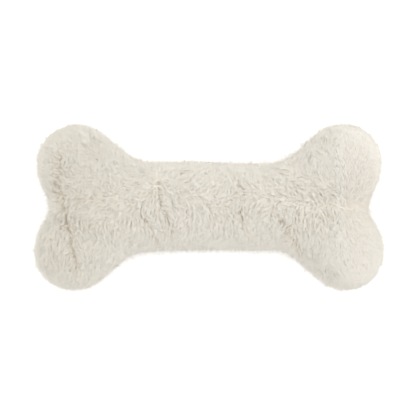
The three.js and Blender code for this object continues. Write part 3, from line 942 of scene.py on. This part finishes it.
def hair_mesh(name, rings, half_width, tint, material):
    """One mesh of flat tapered hairs with their tint and the way up them as its map."""
    count, last = len(rings), len(RING_SHARES) - 1
    ahead = unit(rings[:, 1:] - rings[:, np.maximum(np.arange(last) - 1, 0)])
    normal, _ = outward(rings[:, :last])
    across = unit(np.cross(normal, ahead))
    widths = half_width[:, None] * np.array(RING_WIDTHS)
    up = np.cross(ahead, across)
    points, quads, triangles = tapered(rings, across, up, widths, widths * HAIR_FLATNESS)
    per_hair = 3 * last + 1
    heights, sole = points[:, 2].reshape(count, per_hair), SOLE_HEIGHT - MID_HEIGHT
    layer = SOLE_LAYERS * np.linspace(0, 1, per_hair)
    heights = np.maximum(heights, sole + (heights < sole) * layer) + MID_HEIGHT
    points[:, 2] = heights.ravel()
    ring_of_point = np.append(np.repeat(np.arange(last), 3), last)
    tint_step = np.append(np.tile(CORNER_TINTS, last), CORNER_TINTS[-1])
    way_up = MAP_MARGIN + (1 - 2 * MAP_MARGIN) * np.array(RING_SHARES)
    uv = np.empty((count, per_hair, 2))
    uv[..., 0] = tint[:, None] + tint_step
    uv[..., 1] = way_up[ring_of_point]
    return solid(name, points, [quads, triangles], material, uv=uv.reshape(-1, 2))


# Acrylic pile is creamy off-white and dull, warmer at the root and paler at the tip, and no two
# hairs take the dye alike. The map's height is the way up a hair, its width the hair's own tint
# with the painted light and shade of its place, up to TINT_SPAN, and beyond that the fine guard
# hair, which is nearly colourless.
TINT_SPAN = 0.84
GUARD_TINT = 0.95
pile = new_material("acrylic_rabbit_pile")
where = add_node(pile, "UVMap", uv_map="OFBake")
parts = add_node(pile, "SeparateXYZ", {"Vector": where})
tint_with_painted_light, way_up = parts.outputs["X"], parts.outputs["Y"]
cool = add_node(
    pile, "ValToRGB", {"Fac": way_up}, stops=[(0.0, "DED4C4"), (1.0, "EAE6DB"), (0.5, "E5DECF")]
)
warm = add_node(
    pile, "ValToRGB", {"Fac": way_up}, stops=[(0.0, "F0EADF"), (1.0, "FBF9F3"), (0.5, "F8F3E9")]
)
# The map's width mixes cool and warm hair by the hair's tint and the painted light and shade of its
# place.
dye_and_painted_light = add_node(pile, "MapRange", {"Value": tint_with_painted_light}, {"From Max": TINT_SPAN})
colour = add_node(pile, "MixRGB", {"Fac": dye_and_painted_light, "Color1": cool, "Color2": warm})
fine = add_node(pile, "ValToRGB", {"Fac": way_up}, stops=[(0.0, "E6E1D8"), (1.0, "F2EFE9")])
guard = add_node(
    pile, "Math", {0: tint_with_painted_light}, {1: (TINT_SPAN + GUARD_TINT) / 2}, operation="GREATER_THAN"
)
colour = add_node(pile, "MixRGB", {"Fac": guard, "Color1": colour, "Color2": fine})
shader = add_node(
    pile,
    "BsdfPrincipled",
    {"Base Color": colour},
    {
        "Roughness": 0.75,
        "IOR": 1.5,
        "Specular IOR Level": 0.25,
        "Sheen Weight": 0.4,
        "Sheen Roughness": 0.5,
        "Subsurface Weight": 0.25,
        "Subsurface Radius": (1.0, 1.0, 1.0),
        "Subsurface Scale": 0.2 * MM,
    },
)
add_node(pile, "OutputMaterial", {"Surface": shader})

# The hair's mean tint, 0 cool to 1 warm, and how far locks and hairs differ from it.
TINT, LOCK_TINT, OWN_TINT = 0.3, 0.06, 0.06
# The right end is painted paler on top, a painted light, but painted darker in its notch, a painted
# shade; the middle is painted a little paler, a painted light, and the left end and the rim are
# painted greyer, a painted shade.
END_PAINTED_LIGHT, END_PAINTED_LIGHT_SPAN, END_PAINTED_LIGHT_RIM = 0.95, (110 * MM, 130 * MM), 18.2 * MM
MIDDLE_PAINTED_LIGHT, MIDDLE_FULLNESS, MIDDLE_SPAN = 0.12, (0.5, 0.9), (-80 * MM, -20 * MM)
RIM_PAINTED_SHADE = 0.17
LEFT_PAINTED_SHADE, LEFT_SPAN = 0.21, (70 * MM, 130 * MM)
NOTCH_PAINTED_SHADE, NOTCH_SHADE_HALF_WIDTH, NOTCH_SHADE_SPAN = 0.5, 9 * MM, (116 * MM, 130 * MM)


def painted_light_at(p):
    """The painted light and shade at points of the outer form, as a shift of the hair's tint:
    warmer and paler above 0, greyer below.
    """
    x, y, height = p[:, 0], p[:, 1], p[:, 2]
    # Painted light: the top of the right end is painted paler, less so towards the rim.
    end = (END_PAINTED_LIGHT - bell(height, END_PAINTED_LIGHT_RIM)) * ramp(x, *END_PAINTED_LIGHT_SPAN)
    # Painted light: the full top from the middle rightwards is painted a little paler.
    middle = MIDDLE_PAINTED_LIGHT * ramp(fullness(x, y), *MIDDLE_FULLNESS) * ramp(x, *MIDDLE_SPAN)
    # Painted shade: the left end is painted greyer.
    left = LEFT_PAINTED_SHADE * ramp(-x, *LEFT_SPAN)
    # Painted shade: the hair in the right notch is painted darker.
    notch = NOTCH_PAINTED_SHADE * bell(y, NOTCH_SHADE_HALF_WIDTH) * ramp(x, *NOTCH_SHADE_SPAN)
    # Painted shade: the rim is painted greyer.
    return end + middle - RIM_PAINTED_SHADE * bell(height, RIM_REACH) - left - notch


# The heights from the middle plane that each panel spans, its hairs and its guard hairs.
COATS = {"upper": (0, 40 * MM, 80000, 20000), "lower": (-40 * MM, 0, 36000, 2000)}
# Few enough hairs for each mesh to be exported whole.
HAIRS_IN_MESH = 12400
HAIR_HALF_WIDTH = 0.27 * MM
WIDTH_SPREAD = (0.7, 1.3)
# The smooth right end has thinner hair.
END_THINNER, END_THINNER_SPAN = 0.35, (114 * MM, 126 * MM)
# In a parting this share of the hairs is left out, and also of those that lie across one.
PARTING_THINNER = 0.6
CROSSING_THINNER = 0.6
CROSSING_DEPTH = 0.25
# Guard hairs stand out from the rim and blur the outline, between two heights and thickest at one.
GUARD_HALF_WIDTH = 0.12 * MM
GUARD_LOWEST, GUARD_HIGHEST = -8 * MM, 22 * MM
GUARD_THICKEST, GUARD_FADE = 3 * MM, 8.25 * MM
hair_draw = np.random.default_rng(7)
for coat_name, (low, high, count, guards) in COATS.items():
    middles, area = scattered(count, hair_draw, low, high)
    # One try for each square millimetre leaves locks all over.
    locks = spaced(scattered(int(area / MM**2), hair_draw, low, high)[0], LOCK_WIDTH)
    lock_tree = tree_of(locks)
    middles = middles[hair_draw.random(count) > PARTING_THINNER * parting_at(middles)[0]]
    mine = np.array([lock_tree.find(p)[1] for p in middles])
    rings = hair_rings(middles, mine, locks, hair_draw)
    sides = [parting_at(rings[:, ring]) for ring in range(len(RING_SHARES))]
    crossing = np.sum(sides[0][1] * sides[-1][1], axis=-1) < 0
    deepest = np.max([depth for depth, _ in sides], axis=0)
    bare = crossing * np.clip(deepest / CROSSING_DEPTH, 0, CROSSING_THINNER)
    kept = hair_draw.random(len(middles)) >= bare
    middles, mine, rings = middles[kept], mine[kept], rings[kept]
    half_width = HAIR_HALF_WIDTH * hair_draw.uniform(*WIDTH_SPREAD, len(middles))
    half_width = half_width * (1 - END_THINNER * ramp(middles[:, 0], *END_THINNER_SPAN))
    tint = TINT + OWN_TINT * hair_draw.normal(size=len(middles))
    # The tint takes the painted light and shade of the hair's place.
    tint = tint + LOCK_TINT * hair_draw.normal(size=len(locks))[mine] + painted_light_at(middles)
    guard_low, guard_high = max(low, GUARD_LOWEST), min(high, GUARD_HIGHEST)
    guard_middles, _ = scattered(2 * guards, hair_draw, guard_low, guard_high)
    thickness = bell(guard_middles[:, 2] - GUARD_THICKEST, GUARD_FADE)
    guard_middles = guard_middles[hair_draw.random(2 * guards) < thickness]
    guard_mine = np.array([lock_tree.find(p)[1] for p in guard_middles])
    guard_rings = hair_rings(guard_middles, guard_mine, locks, hair_draw, guard=True)
    guard_width = GUARD_HALF_WIDTH * hair_draw.uniform(*WIDTH_SPREAD, len(guard_middles))
    tint = TINT_SPAN * np.clip(tint, 0.01, 0.99)
    tint = np.append(tint, np.full(len(guard_middles), GUARD_TINT))
    middles = np.concatenate([middles, guard_middles])
    rings = np.concatenate([rings, guard_rings])
    half_width = np.append(half_width, guard_width)
    for end, chosen in (("left", middles[:, 0] < 0), ("right", middles[:, 0] >= 0)):
        order = np.flatnonzero(chosen)
        order = order[np.argsort(middles[order, 0], kind="stable")]
        groups = np.array_split(order, math.ceil(len(order) / HAIRS_IN_MESH))
        for number, group in enumerate(groups, 1):
            name = f"hair_{coat_name}_{end}_{number}"
            hair = hair_mesh(name, rings[group], half_width[group], tint[group], pile)
            held(hair, "lower" if coat_name == "lower" else "upper_" + end)

# Floor and light
# A white table under the toy and a soft white room above it, with a large lamp behind to the right
# that models the fur a little.


def seen_itself(material):
    """Adds nodes that give 1 where a camera, a highlight or glass sees the material, else 0."""
    ray = add_node(material, "LightPath").outputs
    seen = ray["Is Camera Ray"]
    for other in ("Is Glossy Ray", "Is Transmission Ray"):
        seen = add_node(material, "Math", {0: seen, 1: ray[other]}, operation="MAXIMUM")
    return seen


FLOOR_HALF = 3.0
FLOOR_GLOW = 0.42
# White paper; what a camera, a highlight or glass sees of it is lifted until it is white.
paper = new_material("white_paper")
shader = add_node(
    paper,
    "BsdfPrincipled",
    None,
    {"Base Color": linear("F7F7F6"), "Roughness": 0.9, "Specular IOR Level": 0.1},
)
glow = add_node(paper, "Emission", None, {"Color": linear("FFFFFF"), "Strength": FLOOR_GLOW})
both = add_node(paper, "AddShader", {0: shader, 1: glow})
shown = add_node(paper, "MixShader", {0: seen_itself(paper), 1: shader, 2: both})
add_node(paper, "OutputMaterial", {"Surface": shown})
floor = solid(
    "floor",
    FLOOR_HALF * np.array([(-1, -1, 0), (1, -1, 0), (1, 1, 0), (-1, 1, 0)]),
    [np.array([[0, 1, 2, 3]])],
    paper,
)

CEILING_STRENGTH = 0.93
WALL_STRENGTH = 1.28
WALL_HEIGHT = 0.7
room = bpy.data.worlds.new("white_room")
room.use_nodes = True
room.node_tree.nodes.clear()
way = add_node(room, "TexCoord")
height = add_node(room, "SeparateXYZ", {"Vector": way.outputs["Generated"]})
level = add_node(
    room,
    "MapRange",
    {"Value": height.outputs["Z"]},
    {"From Max": WALL_HEIGHT, "To Min": WALL_STRENGTH, "To Max": CEILING_STRENGTH},
)
lit = add_node(room, "Background", {"Strength": level}, {"Color": linear("FFFFFF")})
white_back = add_node(room, "Background", None, {"Color": linear("FFFFFF"), "Strength": 1.0})
shown = add_node(room, "MixShader", {0: seen_itself(room), 1: lit, 2: white_back})
add_node(room, "OutputWorld", {"Surface": shown})
bpy.context.scene.world = room

# Each lamp with its place, its width and its power.
LAMPS = [
    ("lamp_back_right", (1.0, 0.4, 1.1), 0.9, 6.8),
    ("lamp_left", (-1.1, 0.1, 0.7), 0.9, 2.4),
]
for name, lamp_place, width, watts in LAMPS:
    light = bpy.data.lights.new(name, "AREA")
    light.shape, light.size, light.energy = "DISK", width, watts
    lamp = placed(name, light)
    lamp.location = lamp_place
    towards_toy = Vector((0, 0, MID_HEIGHT)) - Vector(lamp_place)
    lamp.rotation_euler = towards_toy.to_track_quat("-Z", "Y").to_euler()

# Camera
# Straight above the toy, as in the photograph, and far enough away for almost parallel sight lines.

VIEW_WIDTH = 378.2 * MM
VIEW_MIDDLE = (0.45 * MM, -0.9 * MM)
CAMERA_DISTANCE = 1.3
lens = bpy.data.cameras.new("camera")
lens.sensor_width = 36
lens.lens = lens.sensor_width * CAMERA_DISTANCE / VIEW_WIDTH
camera = placed("camera", lens)
camera.location = (*VIEW_MIDDLE, MID_HEIGHT + CAMERA_DISTANCE)
bpy.context.scene.camera = camera
bpy.context.scene.view_settings.view_transform = "Standard"
